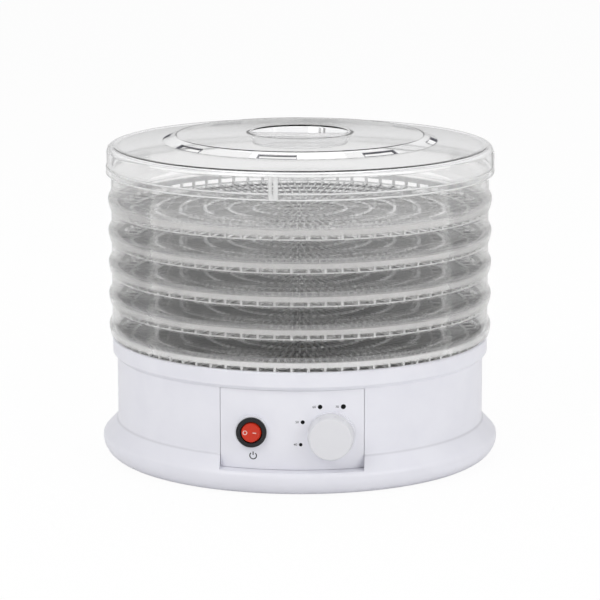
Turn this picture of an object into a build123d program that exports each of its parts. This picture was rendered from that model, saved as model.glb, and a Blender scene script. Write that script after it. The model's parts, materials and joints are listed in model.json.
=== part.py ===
from build123d import *
import os
from math import asin, cos, degrees, pi, radians, sin

os.makedirs("parts", exist_ok=True)

# Round food dehydrator: a heated fan base under five clear stacking trays and a clear lid
# Millimetres, +Z up, origin on the table under the axis, control panel towards -Y

# Clearances
rest_gap = 0.2          # under a tray, a lid or a seated piece that lifts off
slip_gap = 0.3          # round a piece that drops into its seat
turn_gap = 0.05         # round a shaft or a trunnion that turns
screw_gap = 0.05        # round a screw in its own pilot hole
hole_gap = 0.4          # round a screw in a clearance hole

# Trays, measured from the bead plane where two trays meet
tray_count = 5
tray_pitch = 26.65
tray_radius = 157.4
tray_wall = 2.0
bead_proud = 2.6
bead_above = 6.8
tray_skirt_drop = 7.5
tray_skirt_lip = 0.8
tray_skirt_gap = 0.4
nest_gap = 0.9
spigot_wall = 2.2
spigot_drop = 13.0
shelf_drop = 1.2
shelf_plate = 2.0
floor_plate = 2.0
window_count = 72
window_depth = 11.5
window_rib = 4.2
floor_ring = 2.2
floor_rib = 2.4
floor_rows = 6
floor_cell = 9.0
floor_hub = 18.0

tray_bore = tray_radius - tray_wall
bead_radius = tray_radius + bead_proud
tray_skirt_bore = tray_radius + tray_skirt_gap
spigot_radius = tray_bore - nest_gap
spigot_bore = spigot_radius - spigot_wall
rim_top = tray_pitch - shelf_drop - rest_gap
floor_drop = spigot_drop - floor_plate

# Base housing
skirt_lift = 1.5
skirt_rise = 14.0
skirt_band = 2.4
skirt_round = 4.0
flare_height = 13.1
flare_round = 2.0
body_height = 54.0
collar_step = 3.0
collar_step_round = 1.4
collar_height = 12.5
collar_wall = 2.3
collar_round = 1.6
collar_gap = 0.4
collar_proud = 3.7
skirt_flare = 12.5
skirt_tuck = 9.0
base_wall = 2.5

collar_bore = spigot_radius + collar_gap
collar_radius = collar_bore + collar_wall
base_radius = collar_radius - collar_proud
base_bore = base_radius - base_wall
skirt_radius = base_radius + skirt_flare
skirt_edge_radius = skirt_radius - skirt_tuck
skirt_bore = skirt_edge_radius - base_wall
skirt_wide_z = skirt_lift + skirt_rise
band_top = skirt_wide_z + skirt_band
flare_top = band_top + flare_height
body_top = flare_top + body_height
collar_bottom = body_top + collar_step
base_top = collar_bottom + collar_height

# Stack heights
bead_lift = 10.2
stack_base = base_top + bead_lift
lid_plane = stack_base + tray_count * tray_pitch

# Lid
lid_wall = 2.0
lid_gap = 1.6
lid_skirt_drop = 5.45
lid_side = 17.5
lid_shoulder = 5.5
lid_groove_width = 4.0
lid_groove_depth = 0.6
lid_rise = 3.0
lid_step_radius = 114.5
lid_step_run = 11.0
lid_step_rise = 4.8
lid_dome_rise = 2.0
lid_recess_radius = 42.0
lid_recess_depth = 9.0
lid_recess_slope = 4.0
grip_width = 15.0
grip_plate = 3.0
vent_count = 8
vent_width = 31.0
vent_reach = 5.3
vent_stand = 0.6
vent_turn = 38.0
key_count = 4
key_width = 6.8
key_proud = 0.8
key_turn = -95.0

lid_bore = tray_radius + lid_gap
lid_radius = lid_bore + lid_wall
lid_bottom = lid_plane - lid_skirt_drop
lid_side_top = lid_bottom + lid_side
lid_crest = lid_side_top + lid_shoulder
lid_crest_radius = lid_radius - lid_shoulder
lid_groove_radius = lid_crest_radius - lid_groove_width
lid_foot_z = lid_crest + lid_rise
lid_disc_radius = lid_step_radius - lid_step_run
lid_disc_z = lid_foot_z + lid_step_rise
lid_top = lid_disc_z + lid_dome_rise
lid_recess_z = lid_top - lid_recess_depth
vent_radius = lid_step_radius - vent_stand - vent_reach / 2

# Air deck and fan guard
deck_plate = 2.2
deck_flange = 12.5
deck_dish = 7.5
guard_plate = 2.0
guard_radius = 70.0
guard_rings = 5
guard_ring = 2.5
guard_spokes = 8
guard_spoke = 3.0
duct_radius = 60.5
deck_lip = 0.5

deck_top = stack_base - spigot_drop - rest_gap
ledge_z = deck_top - deck_plate
deck_radius = collar_bore - collar_gap
dish_top = deck_top - deck_dish
seat_z = dish_top - guard_plate
lip_bottom = seat_z - deck_plate

# Bottom cover, feet and screws
foot_height = 3.5
foot_radius = 9.0
foot_round = 1.0
foot_neck = 3.0
foot_head = 4.2
foot_head_height = 1.4
foot_ring = 128.0
cover_plate = 2.5
cover_gap = 0.5
screw_radius = 1.55
screw_head = 3.4
screw_head_height = 1.2
screw_bite = 13.0
post_radius = 4.5
post_height = 44.0
post_rib = 3.0
post_stand = 10.0
boss_height = 20.0
corner_turn = 45.0
corner_count = 4
intake_count = 24
intake_inner = 33.0
intake_outer = 61.0
intake_width = 4.0

cover_bottom = foot_height
cover_top = foot_height + cover_plate
cover_radius = skirt_bore - cover_gap
cover_screw_ring = base_bore - post_stand
deck_screw_ring = base_bore - post_radius + base_wall / 4
deck_screw_seat = deck_top - screw_head_height

# Motor, fan and heater
core_half_width = 30.0
core_front = 20.0
core_back = 44.0
core_leg = 12.0
core_window_half = 18.0
core_window_front = 17.0
core_stack = 18.0
rotor_radius = 12.0
rotor_gap = 0.4
shaft_radius = 2.0
shaft_end = 1.0
bridge_plate = 2.0
bridge_width = 12.0
bridge_half = 29.0
bridge_hub = 6.5
bridge_hub_height = 7.0
bush_radius = 4.5
bush_length = 6.0
motor_screw_x = 25.0
motor_post_radius = 5.0
motor_head_height = 2.4
motor_bite = 10.0
coil_half_length = 17.0
coil_build = 8.0
fan_blades = 5
fan_radius = 56.0
fan_hub = 11.0
fan_hub_height = 13.0
fan_chord = 28.0
fan_blade = 1.6
fan_pitch = 30.0
fan_lift = 16.5
fan_room = 10.5
clip_radius = 5.0
clip_plate = 1.0
duct_sheet = 0.8
duct_length = 42.0
duct_flange = 9.0
card_sheet = 1.2
card_height = 15.0
card_sink = 2.0
heater_inner = 28.0
heater_outer = 46.0
heater_tube = 2.6

card_bottom = lip_bottom - card_sink - card_height
heater_z = card_bottom + card_height / 2
duct_bottom = lip_bottom - duct_length
fan_z = card_bottom - fan_room
core_top = fan_z - fan_lift
core_bottom = core_top - core_stack
motor_post_top = core_bottom - bridge_plate
shaft_bottom = motor_post_top - bridge_hub_height - shaft_end
hub_bottom = fan_z - fan_hub_height / 2
hub_top = fan_z + fan_hub_height / 2
shaft_top = hub_top + clip_plate + shaft_end

# Control panel, dial and switch
panel_half = 57.5
panel_gap = 0.3
panel_recess = 0.5
panel_plate = 3.2
panel_flange = 2.6
panel_flange_half = 64.0
panel_flange_lip = 5.5
panel_lift = 2.1
frame_half = 66.0
frame_plate = 3.0
pad_proud = 0.6
pad_plate = 2.8
dial_x = 31.2
dial_up = 27.9
dial_pad = 19.5
dial_pad_wall = 2.5
knob_radius = 18.6
knob_taper = 8.0
knob_depth = 11.6
knob_round = 1.4
knob_bore_depth = 8.5
thermostat_half_width = 13.0
thermostat_half_height = 10.0
thermostat_depth = 16.0
dial_shaft = 3.0
dial_shaft_seat = 10.0
thermostat_screw_x = 9.0
tab_width = 4.8
tab_sheet = 0.8
tab_length = 7.0
switch_x = -32.1
switch_up = 30.7
switch_pad = 13.5
switch_pad_wall = 2.4
bezel_radius = 12.2
bezel_plate = 2.0
bezel_round = 0.8
barrel_radius = 10.0
barrel_bore = 8.8
barrel_depth = 15.0
barrel_floor = 6.0
rocker_gap = 0.4
rocker_pivot = 1.5
rocker_face = 3.6
rocker_back = 4.5
rocker_tilt = 9.0
trunnion_radius = 1.2
trunnion_seat = 0.9
panel_screw_low = 13.0
panel_screw_high = 53.0

window_half = panel_half + panel_gap
window_bottom = band_top + panel_lift
panel_bottom = window_bottom + panel_gap
panel_top = body_top - panel_gap
dial_z = panel_bottom + dial_up
switch_z = panel_bottom + switch_up
panel_front = base_radius - panel_recess
panel_back = panel_front - panel_plate
frame_bore = panel_back + rest_gap
pad_reach = panel_front + pad_proud
pad_back = pad_reach - pad_plate
knob_back = pad_reach + slip_gap
switch_reach = pad_reach - rocker_pivot
rocker_ball = barrel_bore - rocker_gap
thermostat_back = pad_back - thermostat_depth
barrel_back = pad_reach - barrel_depth
panel_screw_turn = degrees(asin((panel_half + panel_flange_half) / 2 / panel_back))

# Cord inlet, terminal block, fuse and wires
gland_lift = 15.5
gland_radius = 5.0
gland_flange = 7.0
gland_flange_plate = 3.0
gland_lip = 6.0
gland_lip_plate = 2.2
cord_slot_width = 6.4
cord_slot_height = 3.8
block_y = 112.0
block_length = 34.0
block_width = 16.0
block_height = 14.0
block_pitch = 10.0
block_way = 2.0
fuse_radius = 2.5
fuse_length = 14.0
fuse_turn = -45.0
return_turn = 135.0
wire_radius = 1.1
wire_hole = 2.2
wire_bend = 4.0
wire_clear = 12.0

gland_z = flare_top + gland_lift


def turned(points, mode=Mode.ADD):
    """A closed outline of radius and height, turned about the axis into the part being built."""
    with BuildSketch(Plane.XZ) as outline:
        with BuildLine():
            Polyline(*points, close=True)
        make_face()
    revolve(outline.sketch, axis=Axis.Z, mode=mode)


def outward(turn, reach, height):
    """A plane at a reach from the axis that faces straight out, its Y pointing up."""
    way = (cos(radians(turn)), sin(radians(turn)), 0)
    across = (-sin(radians(turn)), cos(radians(turn)), 0)
    return Plane(origin=(reach * way[0], reach * way[1], height), x_dir=across, z_dir=way)


def front(reach, x=0.0, z=0.0):
    """A plane parallel to XZ that faces the front, at a reach towards -Y."""
    return Plane(origin=(x, -reach, z), x_dir=(1, 0, 0), z_dir=(0, -1, 0))


def corners(ring):
    """Four places on a ring, halfway between the four sides."""
    return PolarLocations(ring, corner_count, start_angle=corner_turn)


def finish(part, name):
    """Name a finished piece and write its file."""
    part.label = name
    export_step(part, f"parts/{name}.step")


# Lid: side wall, shoulder, grooved rim, raised disc with vents and a recess with a grip bar
def lid_line(inset):
    """The lid's line from the side wall to the rim of the recess, one inset from the outside."""
    side = (lid_radius - inset, lid_side_top)
    crest = (lid_crest_radius, lid_crest - inset)
    Line((lid_radius - inset, lid_bottom), side)
    TangentArc(side, crest, tangent=(0, 1))
    Polyline(
        crest,
        (lid_groove_radius, lid_crest - lid_groove_depth - inset),
        (lid_step_radius - inset / 2, lid_foot_z - inset),
        (lid_disc_radius - inset / 2, lid_disc_z - inset),
        (lid_recess_radius + inset, lid_top - inset),
    )


with BuildPart() as lid:
    with BuildSketch(Plane.XZ):
        with BuildLine():
            lid_line(0)
            Polyline(
                (lid_recess_radius, lid_top),
                (lid_recess_radius - lid_recess_slope, lid_recess_z),
                (0, lid_recess_z),
                (0, lid_bottom),
                (lid_radius, lid_bottom),
            )
        make_face()
    revolve(axis=Axis.Z)
    with BuildSketch(Plane.XZ):
        with BuildLine():
            lid_line(lid_wall)
            Polyline(
                (lid_recess_radius + lid_wall, lid_top - lid_wall),
                (lid_recess_radius - lid_recess_slope + lid_wall, lid_recess_z - lid_wall),
                (0, lid_recess_z - lid_wall),
                (0, lid_bottom),
                (lid_radius - lid_wall, lid_bottom),
            )
        make_face()
    revolve(axis=Axis.Z, mode=Mode.SUBTRACT)
    turned([
        (spigot_bore, lid_bottom),
        (spigot_radius, lid_bottom),
        (spigot_radius, lid_plane - shelf_drop),
        (lid_bore + lid_wall / 2, lid_plane - shelf_drop),
        (lid_bore + lid_wall / 2, lid_plane - shelf_drop + shelf_plate),
        (spigot_bore, lid_plane - shelf_drop + shelf_plate),
    ])
    with BuildSketch(Plane.XY.offset(lid_top - lid_dome_rise)):
        Rectangle(2 * lid_recess_radius, grip_width)
    extrude(amount=-grip_plate)
    with BuildSketch(Plane.XY.offset(lid_crest - lid_wall)):
        with PolarLocations(vent_radius, vent_count, start_angle=vent_turn):
            Rectangle(vent_reach, vent_width)
    extrude(amount=lid_disc_z - lid_crest + lid_wall, mode=Mode.SUBTRACT)
    with BuildSketch(Plane.XY.offset(lid_bottom)):
        with PolarLocations(lid_radius, key_count, start_angle=key_turn):
            Rectangle(2 * key_proud, key_width)
    extrude(amount=lid_side)
finish(lid.part, "lid")


# Trays: a wall whose beaded skirt covers the rim below, a spigot that drops inside it, a gridded floor
def floor_outline():
    """The floor's rings and ribs, with a row of windows along its edge."""
    row_edge = spigot_bore - window_depth
    row_depth = (row_edge - floor_hub) / floor_rows
    with BuildSketch(Plane.XY.offset(-floor_drop - floor_plate)) as outline:
        Circle(spigot_bore + spigot_wall / 2)
        Circle(spigot_bore, mode=Mode.SUBTRACT)
        for row in range(floor_rows, 0, -1):
            edge = floor_hub + row * row_depth
            Circle(edge + floor_ring / 2)
            Circle(edge - floor_ring / 2, mode=Mode.SUBTRACT)
        Circle(floor_hub + floor_ring / 2)
        with PolarLocations(spigot_bore - window_depth / 2, window_count):
            Rectangle(window_depth + floor_ring, window_rib)
        for row in range(floor_rows):
            middle = floor_hub + (row + 0.5) * row_depth
            with PolarLocations(middle, int(2 * pi * middle / floor_cell)):
                Rectangle(row_depth, floor_rib)
    return outline.sketch


with BuildPart() as tray_form:
    with BuildSketch(Plane.XZ):
        with BuildLine():
            TangentArc((bead_radius, 0), (tray_radius, bead_above), tangent=(0, 1))
            TangentArc(
                (bead_radius, 0), (tray_skirt_bore + tray_skirt_lip, -tray_skirt_drop), tangent=(0, -1)
            )
            Polyline(
                (tray_radius, bead_above),
                (tray_radius, rim_top),
                (tray_bore, rim_top),
                (tray_bore, shelf_plate - shelf_drop),
                (spigot_bore, shelf_plate - shelf_drop),
                (spigot_bore, -spigot_drop),
                (spigot_radius, -spigot_drop),
                (spigot_radius, -shelf_drop),
                (tray_skirt_bore, -shelf_drop),
                (tray_skirt_bore, -tray_skirt_drop),
                (tray_skirt_bore + tray_skirt_lip, -tray_skirt_drop),
            )
        make_face()
    revolve(axis=Axis.Z)
    add(floor_outline())
    extrude(amount=floor_plate)

for number in range(1, tray_count + 1):
    tray = Pos(0, 0, stack_base + (tray_count - number) * tray_pitch) * tray_form.part
    finish(tray, f"tray_{number}")


# Base housing: a round shell with a flared skirt, a collar on top and a framed window for the panel
def base_line():
    """The base's outer line, from the skirt's lower edge to the bore of the collar."""
    TangentArc((skirt_radius, skirt_wide_z), (skirt_edge_radius, skirt_lift), tangent=(0, -1))
    FilletPolyline(
        (skirt_radius, skirt_wide_z),
        (skirt_radius, band_top),
        (base_radius, flare_top),
        (base_radius, body_top),
        (collar_radius, collar_bottom),
        (collar_radius, base_top),
        (collar_bore, base_top),
        radius=[skirt_round, flare_round, collar_step_round, collar_step_round, collar_round],
    )


panel_screw_planes = [
    outward(-90 + side * panel_screw_turn, panel_back, panel_bottom + height)
    for side in (-1, 1)
    for height in (panel_screw_low, panel_screw_high)
]

with BuildPart() as base_block:
    with BuildSketch(Plane.XZ):
        with BuildLine():
            base_line()
            Polyline(
                (collar_bore, base_top), (0, base_top), (0, skirt_lift), (skirt_edge_radius, skirt_lift)
            )
        make_face()
    revolve(axis=Axis.Z)

with BuildPart() as panel_frame:
    add(base_block.part)
    with BuildSketch(front(0, z=(window_bottom + body_top) / 2)):
        Rectangle(2 * frame_half, body_top - window_bottom + 2 * frame_plate)
    extrude(amount=2 * skirt_radius, mode=Mode.INTERSECT)
    with BuildSketch():
        Circle(frame_bore)
    extrude(amount=base_top, mode=Mode.SUBTRACT)

with BuildPart() as base_shell:
    add(base_block.part)
    turned([
        (0, skirt_lift),
        (skirt_bore, skirt_lift),
        (skirt_bore, skirt_lift + skirt_rise / 4),
        (skirt_radius - base_wall, skirt_wide_z),
        (skirt_radius - base_wall, band_top),
        (base_bore, flare_top),
        (base_bore, ledge_z),
        (collar_bore, ledge_z),
        (collar_bore, base_top),
        (0, base_top),
    ], mode=Mode.SUBTRACT)
    add(panel_frame.part)
    with BuildSketch(front(0, z=(window_bottom + body_top) / 2)):
        Rectangle(2 * window_half, body_top - window_bottom)
    extrude(amount=2 * skirt_radius, mode=Mode.SUBTRACT)
    with BuildSketch(Plane.XY.offset(cover_top)):
        with corners(cover_screw_ring):
            Circle(post_radius)
            Rectangle(post_stand + base_wall / 2, post_rib, align=(Align.MIN, Align.CENTER))
    extrude(amount=post_height)
    with BuildSketch(Plane.XY.offset(ledge_z)):
        with corners(deck_screw_ring):
            Circle(post_radius)
    extrude(amount=-boss_height)
    with BuildSketch(Plane.XY.offset(cover_top)):
        with corners(cover_screw_ring):
            Circle(screw_radius + screw_gap)
    extrude(amount=screw_bite, mode=Mode.SUBTRACT)
    with BuildSketch(Plane.XY.offset(ledge_z)):
        with corners(deck_screw_ring):
            Circle(screw_radius + screw_gap)
    extrude(amount=-screw_bite, mode=Mode.SUBTRACT)
    for plane in panel_screw_planes:
        with BuildSketch(plane):
            Circle(screw_radius + screw_gap)
        extrude(amount=base_radius - panel_back - panel_recess, mode=Mode.SUBTRACT)
    with BuildSketch(outward(90, base_bore - base_wall, gland_z)):
        Circle(gland_radius + slip_gap)
    extrude(amount=2 * skirt_radius, mode=Mode.SUBTRACT)
finish(base_shell.part, "base_shell")

# Bottom cover with air slots, motor posts, counterbored screw holes and holes for the feet
with BuildPart() as bottom_cover:
    with BuildSketch(Plane.XY.offset(cover_bottom)):
        Circle(cover_radius)
        with PolarLocations((intake_inner + intake_outer) / 2, intake_count):
            SlotOverall(intake_outer - intake_inner, intake_width, mode=Mode.SUBTRACT)
        with PolarLocations(foot_ring, corner_count):
            Circle(foot_neck + screw_gap, mode=Mode.SUBTRACT)
        with corners(cover_screw_ring):
            Circle(screw_radius + hole_gap, mode=Mode.SUBTRACT)
    extrude(amount=cover_plate)
    with BuildSketch(Plane.XY.offset(cover_top)):
        with Locations((-motor_screw_x, 0), (motor_screw_x, 0)):
            Circle(motor_post_radius)
            Circle(screw_radius + screw_gap, mode=Mode.SUBTRACT)
    extrude(amount=motor_post_top - cover_top)
    with BuildSketch(Plane.XY.offset(cover_bottom)):
        with corners(cover_screw_ring):
            Circle(screw_head + hole_gap)
    extrude(amount=screw_head_height + screw_gap, mode=Mode.SUBTRACT)
finish(bottom_cover.part, "bottom_cover")

# Rubber feet, each pushed through the cover by its neck and held by its head
with BuildPart() as feet:
    with BuildSketch():
        with PolarLocations(foot_ring, corner_count):
            Circle(foot_radius)
    extrude(amount=foot_height)
    chamfer(feet.faces().group_by(Axis.Z)[0].edges(), foot_round)
    with BuildSketch(Plane.XY.offset(foot_height)):
        with PolarLocations(foot_ring, corner_count):
            Circle(foot_neck)
    extrude(amount=cover_plate)
    with BuildSketch(Plane.XY.offset(cover_top)):
        with PolarLocations(foot_ring, corner_count):
            Circle(foot_head)
    extrude(amount=foot_head_height)
finish(feet.part, "feet")

# Screws that hold the cover, from below
with BuildPart() as bottom_screws:
    with BuildSketch(Plane.XY.offset(cover_bottom)):
        with corners(cover_screw_ring):
            Circle(screw_head)
    extrude(amount=screw_head_height)
    with BuildSketch(Plane.XY.offset(cover_bottom + screw_head_height)):
        with corners(cover_screw_ring):
            Circle(screw_radius)
    extrude(amount=screw_bite)
finish(bottom_screws.part, "bottom_screws")

# Air deck: the dark dished plate under the lowest tray, with a seat for the fan guard
with BuildPart() as air_deck:
    turned([
        (deck_radius, ledge_z),
        (deck_radius, deck_top),
        (deck_radius - deck_flange, deck_top),
        (guard_radius + deck_plate, dish_top),
        (guard_radius + slip_gap, dish_top),
        (guard_radius + slip_gap, seat_z),
        (duct_radius - deck_lip, seat_z),
        (duct_radius - deck_lip, lip_bottom),
        (guard_radius + deck_plate, lip_bottom),
        (deck_radius - deck_flange, ledge_z),
    ])
    with BuildSketch(Plane.XY.offset(ledge_z)):
        with corners(deck_screw_ring):
            Circle(screw_radius + hole_gap)
    extrude(amount=deck_plate, mode=Mode.SUBTRACT)
    with BuildSketch(Plane.XY.offset(deck_screw_seat)):
        with corners(deck_screw_ring):
            Circle(screw_head + hole_gap)
    extrude(amount=deck_plate, mode=Mode.SUBTRACT)
finish(air_deck.part, "air_deck")

with BuildPart() as deck_screws:
    with BuildSketch(Plane.XY.offset(deck_screw_seat)):
        with corners(deck_screw_ring):
            Circle(screw_head)
    extrude(amount=screw_head_height)
    with BuildSketch(Plane.XY.offset(deck_screw_seat)):
        with corners(deck_screw_ring):
            Circle(screw_radius)
    extrude(amount=-screw_bite)
finish(deck_screws.part, "deck_screws")

# Fan guard: rings on spokes, dropped into the deck's seat
with BuildPart() as fan_guard:
    with BuildSketch(Plane.XY.offset(seat_z)):
        for ring in range(guard_rings, 0, -1):
            Circle(guard_radius * ring / guard_rings)
            Circle(guard_radius * ring / guard_rings - guard_ring, mode=Mode.SUBTRACT)
        with PolarLocations(guard_radius / guard_rings - guard_ring, guard_spokes):
            Rectangle(
                guard_radius * (1 - 1 / guard_rings), guard_spoke, align=(Align.MIN, Align.CENTER)
            )
    extrude(amount=guard_plate)
finish(fan_guard.part, "fan_guard")

# Air duct: the sheet sleeve round the fan and heater, hung from the deck by its flange
with BuildPart() as air_duct:
    turned([
        (duct_radius, duct_bottom),
        (duct_radius + duct_sheet, duct_bottom),
        (duct_radius + duct_sheet, lip_bottom - duct_sheet),
        (duct_radius + duct_flange, lip_bottom - duct_sheet),
        (duct_radius + duct_flange, lip_bottom),
        (duct_radius, lip_bottom),
    ])
    for turn in (fuse_turn, return_turn):
        with BuildSketch(outward(turn, duct_radius - duct_sheet, heater_z)):
            Circle(wire_hole)
        extrude(amount=3 * duct_sheet, mode=Mode.SUBTRACT)
finish(air_duct.part, "air_duct")

# Heater: two coiled rings through two slotted mica cards that cross at the axis
with BuildPart() as heater_coil:
    with BuildSketch(Plane.XZ):
        with Locations((heater_inner, heater_z), (heater_outer, heater_z)):
            Circle(heater_tube)
    revolve(axis=Axis.Z)
finish(heater_coil.part, "heater_coil")

with BuildPart() as heater_cards:
    for side, plane in ((1, Plane.XZ), (-1, Plane.YZ)):
        with BuildSketch(plane.offset(-card_sheet / 2)):
            with Locations((0, heater_z)):
                Rectangle(2 * (duct_radius - slip_gap), card_height)
            with Locations((0, heater_z + side * card_height / 4)):
                Rectangle(card_sheet + rest_gap, card_height / 2 + rest_gap, mode=Mode.SUBTRACT)
            with Locations(*[(way * r, heater_z) for way in (-1, 1) for r in (heater_inner, heater_outer)]):
                Circle(heater_tube + rest_gap, mode=Mode.SUBTRACT)
        extrude(amount=card_sheet)
finish(heater_cards.part, "heater_cards")

# Motor: a laminated core with one coil, a rotor between two bridges that hold its bushes
with BuildPart() as motor_core:
    with BuildSketch(Plane.XY.offset(core_bottom)):
        with Locations((0, (core_back - core_front) / 2)):
            Rectangle(2 * core_half_width, core_back + core_front)
        with Locations((0, (core_window_front + core_back - core_leg) / 2)):
            Rectangle(
                2 * core_window_half, core_back - core_leg - core_window_front, mode=Mode.SUBTRACT
            )
        Circle(rotor_radius + rotor_gap, mode=Mode.SUBTRACT)
        with Locations((-motor_screw_x, 0), (motor_screw_x, 0)):
            Circle(screw_radius + hole_gap, mode=Mode.SUBTRACT)
    extrude(amount=core_stack)
finish(motor_core.part, "motor_core")

leg_middle = core_back - core_leg / 2
core_middle = (core_bottom + core_top) / 2

with BuildPart() as motor_coil:
    with BuildSketch(Plane.YZ.offset(-coil_half_length)):
        with Locations((leg_middle, core_middle)):
            RectangleRounded(core_leg + 2 * coil_build, core_stack + 2 * coil_build, coil_build / 2)
            Rectangle(core_leg + 2 * rest_gap, core_stack + 2 * rest_gap, mode=Mode.SUBTRACT)
    extrude(amount=2 * coil_half_length)
finish(motor_coil.part, "motor_coil")

with BuildPart() as motor_bridges:
    for side, face in ((-1, core_bottom), (1, core_top)):
        with BuildSketch(Plane.XY.offset(face)):
            SlotOverall(2 * bridge_half, bridge_width)
            with Locations((-motor_screw_x, 0), (motor_screw_x, 0)):
                Circle(screw_radius + hole_gap, mode=Mode.SUBTRACT)
        extrude(amount=side * bridge_plate)
        with BuildSketch(Plane.XY.offset(face)):
            Circle(bridge_hub)
        extrude(amount=side * (bridge_plate + bridge_hub_height))
        with BuildSketch(Plane.XY.offset(face)):
            Circle(bush_radius)
        extrude(amount=side * (bridge_plate + bridge_hub_height), mode=Mode.SUBTRACT)
finish(motor_bridges.part, "motor_bridges")

with BuildPart() as motor_bushes:
    for side, face in ((-1, core_bottom), (1, core_top)):
        with BuildSketch(Plane.XY.offset(face + side * (bridge_plate + bridge_hub_height - bush_length))):
            Circle(bush_radius - screw_gap / 2)
            Circle(shaft_radius + turn_gap, mode=Mode.SUBTRACT)
        extrude(amount=side * bush_length)
finish(motor_bushes.part, "motor_bushes")

with BuildPart() as motor_screws:
    with BuildSketch(Plane.XY.offset(core_top + bridge_plate)):
        with Locations((-motor_screw_x, 0), (motor_screw_x, 0)):
            Circle(screw_head)
    extrude(amount=motor_head_height)
    with BuildSketch(Plane.XY.offset(motor_post_top - motor_bite)):
        with Locations((-motor_screw_x, 0), (motor_screw_x, 0)):
            Circle(screw_radius)
    extrude(amount=motor_bite + core_stack + 2 * bridge_plate)
finish(motor_screws.part, "motor_screws")

with BuildPart() as motor_rotor:
    with BuildSketch(Plane.XY.offset(core_bottom + rotor_gap)):
        Circle(rotor_radius)
        Circle(shaft_radius + screw_gap / 2, mode=Mode.SUBTRACT)
    extrude(amount=core_stack - 2 * rotor_gap)
finish(motor_rotor.part, "motor_rotor")

with BuildPart() as motor_shaft:
    with BuildSketch(Plane.XY.offset(shaft_bottom)):
        Circle(shaft_radius)
    extrude(amount=shaft_top - shaft_bottom)
finish(motor_shaft.part, "motor_shaft")

# Fan: pitched blades on a hub, held on the shaft by a clip
with BuildPart() as fan:
    with BuildSketch(Plane.XY.offset(hub_bottom)):
        Circle(fan_hub)
    extrude(amount=fan_hub_height)
    for blade in range(fan_blades):
        turn = 360 * blade / fan_blades
        with BuildSketch(outward(turn, fan_hub / 2, fan_z).rotated((0, 0, fan_pitch))):
            Rectangle(fan_chord, fan_blade)
        extrude(amount=fan_radius)
    with BuildSketch(Plane.XY.offset(hub_bottom - fan_chord)):
        Circle(fan_radius)
    extrude(amount=fan_hub_height + 2 * fan_chord, mode=Mode.INTERSECT)
    with BuildSketch(Plane.XY.offset(hub_bottom)):
        Circle(shaft_radius + screw_gap / 2)
    extrude(amount=fan_hub_height, mode=Mode.SUBTRACT)
finish(fan.part, "fan")

with BuildPart() as fan_clip:
    with BuildSketch(Plane.XY.offset(hub_top)):
        Circle(clip_radius)
        Circle(shaft_radius + screw_gap / 2, mode=Mode.SUBTRACT)
    extrude(amount=clip_plate)
finish(fan_clip.part, "fan_clip")

# Control panel: a curved plate in the base's window, with a flange behind and flat pads for the controls
with BuildPart() as control_panel:
    with BuildSketch(Plane.XY.offset(panel_bottom)):
        Circle(panel_front)
        Circle(panel_back, mode=Mode.SUBTRACT)
        with Locations((0, -panel_front)):
            Rectangle(2 * panel_half, 2 * panel_front, mode=Mode.INTERSECT)
    extrude(amount=panel_top - panel_bottom)
    with BuildSketch(Plane.XY.offset(panel_bottom - panel_flange_lip)):
        Circle(panel_back)
        Circle(panel_back - panel_flange, mode=Mode.SUBTRACT)
        with Locations((0, -panel_front)):
            Rectangle(2 * panel_flange_half, 2 * panel_front, mode=Mode.INTERSECT)
    extrude(amount=panel_top - panel_bottom + 2 * panel_flange_lip)
    for x, z, pad in ((dial_x, dial_z, dial_pad), (switch_x, switch_z, switch_pad)):
        with BuildSketch(front(pad_reach, x, z)):
            Circle(pad)
        extrude(amount=-3 * pad_plate)
    for x, z, bore in (
        (dial_x, dial_z, dial_pad - dial_pad_wall),
        (switch_x, switch_z, switch_pad - switch_pad_wall),
    ):
        with BuildSketch(front(pad_back, x, z)):
            Circle(bore)
        extrude(amount=-base_radius, mode=Mode.SUBTRACT)
    with BuildSketch(front(pad_reach, switch_x, switch_z)):
        Circle(barrel_radius + slip_gap / 2)
    extrude(amount=-2 * pad_plate, mode=Mode.SUBTRACT)
    with BuildSketch(front(pad_reach, dial_x, dial_z)):
        Circle(dial_shaft + slip_gap)
        with Locations((-thermostat_screw_x, 0), (thermostat_screw_x, 0)):
            Circle(screw_radius + hole_gap)
    extrude(amount=-2 * pad_plate, mode=Mode.SUBTRACT)
    with BuildSketch(front(pad_reach, dial_x, dial_z)):
        with Locations((-thermostat_screw_x, 0), (thermostat_screw_x, 0)):
            Circle(screw_head + hole_gap)
    extrude(amount=-screw_head_height - screw_gap, mode=Mode.SUBTRACT)
    for plane in panel_screw_planes:
        with BuildSketch(plane):
            Circle(screw_radius + hole_gap)
        extrude(amount=-2 * panel_flange, mode=Mode.SUBTRACT)
finish(control_panel.part, "control_panel")

with BuildPart() as panel_screws:
    for plane in panel_screw_planes:
        with BuildSketch(plane.offset(-panel_flange - screw_gap)):
            Circle(screw_radius)
        extrude(amount=base_radius - panel_back + panel_flange - 2 * panel_recess)
        with BuildSketch(plane.offset(-panel_flange - screw_gap)):
            Circle(screw_head)
        extrude(amount=-screw_head_height)
finish(panel_screws.part, "panel_screws")

# Thermostat behind the panel, with the dial on its shaft
with BuildPart() as thermostat_body:
    with BuildSketch(front(pad_back, dial_x, dial_z)):
        Rectangle(2 * thermostat_half_width, 2 * thermostat_half_height)
    extrude(amount=-thermostat_depth)
    with BuildSketch(front(pad_back, dial_x, dial_z)):
        Circle(dial_shaft + turn_gap)
        with Locations((-thermostat_screw_x, 0), (thermostat_screw_x, 0)):
            Circle(screw_radius + screw_gap)
    extrude(amount=-dial_shaft_seat, mode=Mode.SUBTRACT)
finish(thermostat_body.part, "thermostat_body")

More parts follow.
